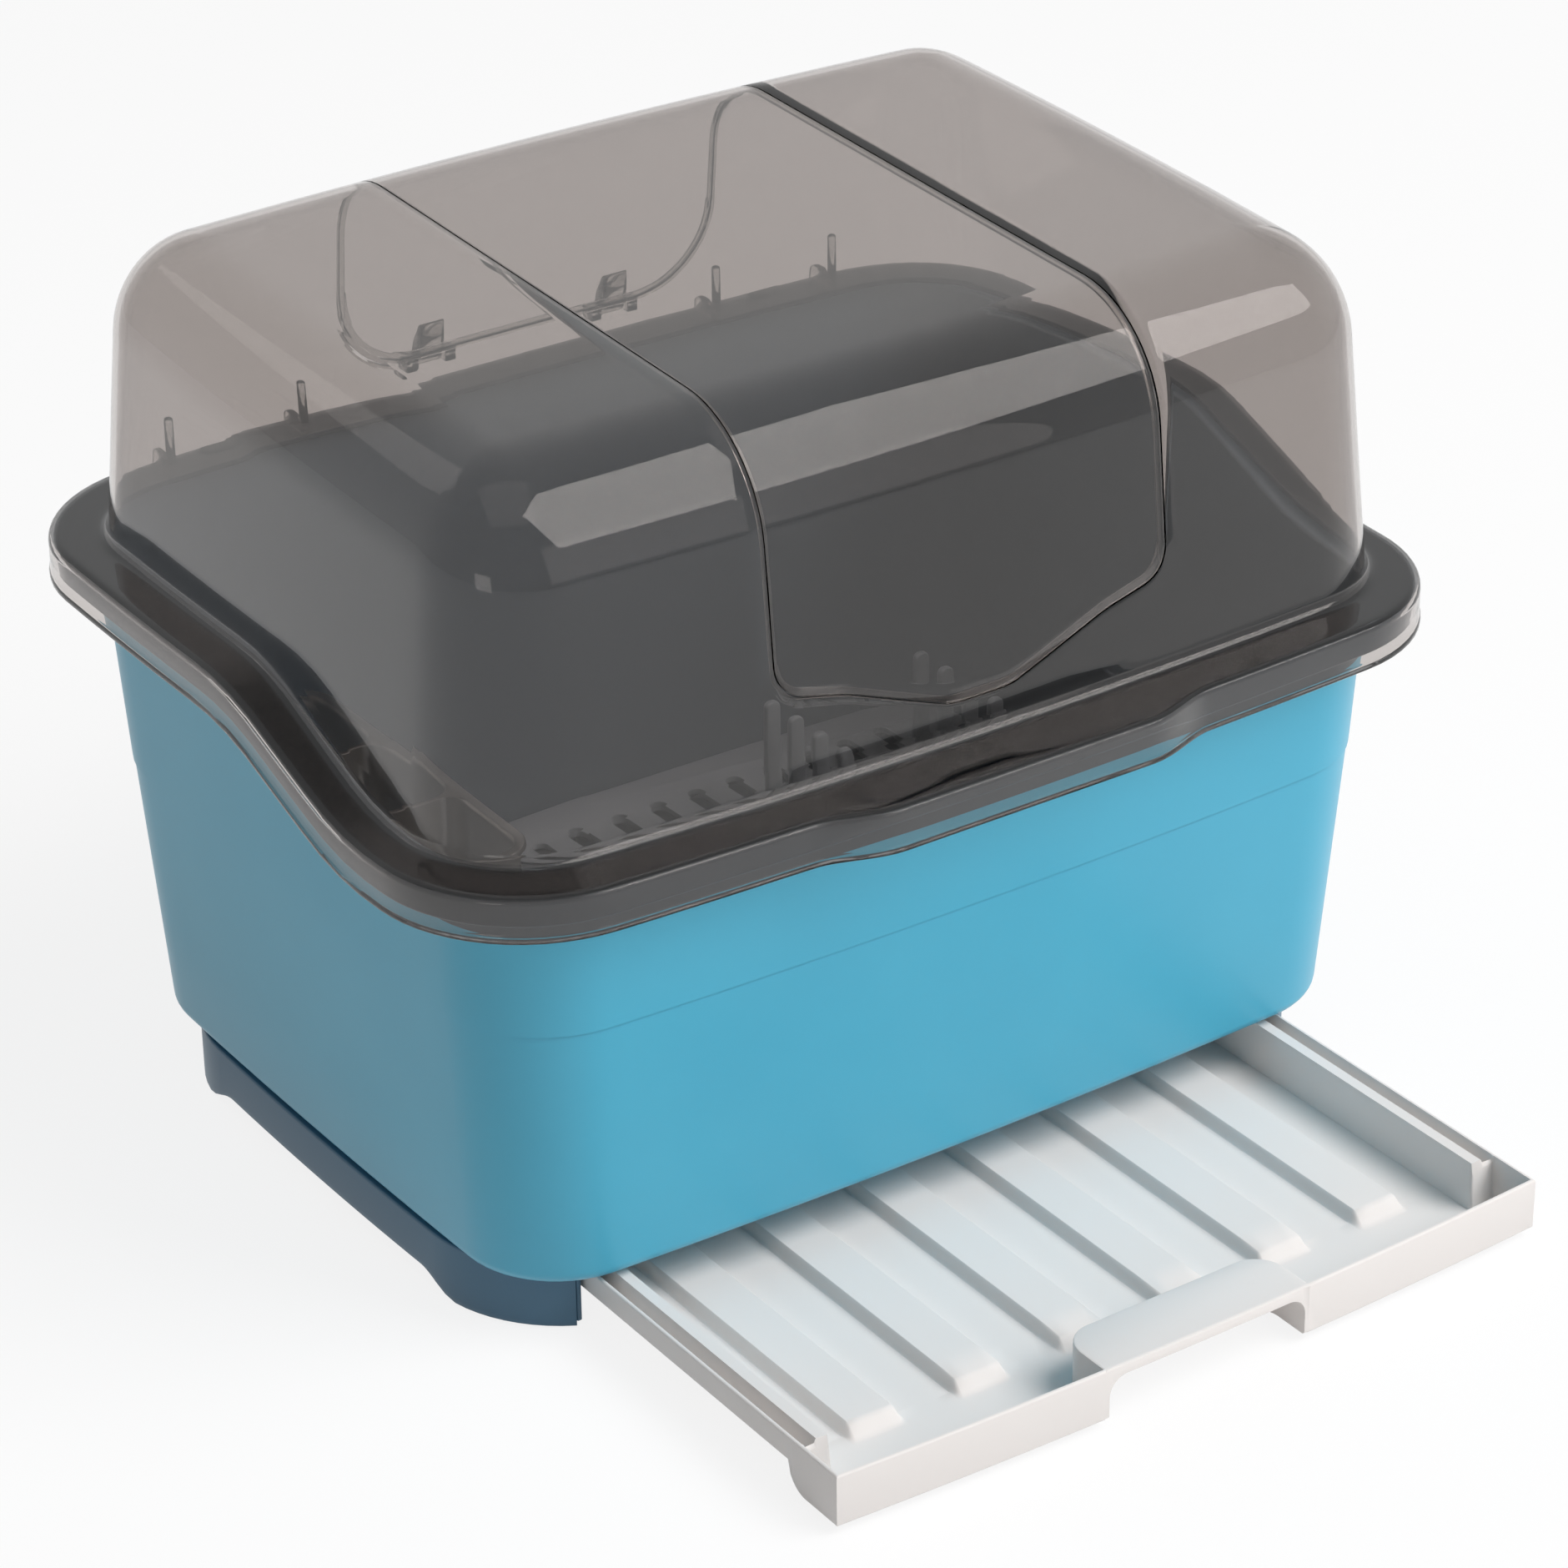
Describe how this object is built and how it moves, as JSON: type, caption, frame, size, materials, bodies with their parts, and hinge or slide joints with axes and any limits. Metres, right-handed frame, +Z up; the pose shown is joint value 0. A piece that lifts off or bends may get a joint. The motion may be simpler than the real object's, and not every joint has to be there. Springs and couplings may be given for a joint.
{
  "type": "dish drying rack",
  "caption": "Covered dish drying rack: tub on a plinth with a pull-out drip tray, drain grid, plate rack, cutlery holder and clear lid with a flip-up door.",
  "frame": {"origin": "on the ground, in the middle of the footprint with the tray pulled out", "axes": "+Z up, the tray slides out towards -Y, +X to the right seen from the front"},
  "size_m": [0.4804, 0.4939, 0.3698],
  "materials": {
    "tub_blue": "light blue moulded plastic, satin gloss",
    "plinth_blue": "dark blue moulded plastic, satin",
    "tray_white": "white moulded plastic, glossy",
    "insert_grey": "off-white moulded plastic, satin",
    "holder_clear": "clear smoke plastic",
    "lid_smoke": "smoke-clear plastic, glossy",
    "pad_rubber": "matt grey rubber",
    "steel": "zinc-plated steel"
  },
  "bodies": {
    "housing": {"tub": "tub_blue", "base_plinth": "plinth_blue", "foot_pad_front_left": "pad_rubber", "foot_pad_front_right": "pad_rubber", "foot_pad_rear_left": "pad_rubber", "foot_pad_rear_right": "pad_rubber", "base_screw_front_left": "steel", "base_screw_front_right": "steel", "base_screw_rear_left": "steel", "base_screw_rear_right": "steel"},
    "tray": {"drip_tray": "tray_white"},
    "grid": {"drain_grid": "insert_grey", "plate_rack": "insert_grey"},
    "holder": {"cutlery_holder": "holder_clear"},
    "lid": {"lid_dome": "lid_smoke", "hinge_pin_left": "steel", "hinge_pin_right": "steel"},
    "door": {"flip_door": "lid_smoke"}
  },
  "joints": [
    {"name": "tray_slide", "type": "slide", "parent": "housing", "child": "tray", "axis": [0, 1, 0], "range_m": [0, 0.15]},
    {"name": "grid_lift", "type": "slide", "parent": "housing", "child": "grid", "axis": [0, 0, 1], "range_m": [0, 0.12]},
    {"name": "holder_lift", "type": "slide", "parent": "grid", "child": "holder", "axis": [0, 0, 1], "range_m": [0, 0.15]},
    {"name": "lid_lift", "type": "slide", "parent": "housing", "child": "lid", "axis": [0, 0, 1], "range_m": [0, 0.2]},
    {"name": "door_hinge", "type": "hinge", "parent": "lid", "child": "door", "pos_m": [0, 0.223, 0.268], "axis": [-1, 0, 0], "range_deg": [0, 100]}
  ]
}
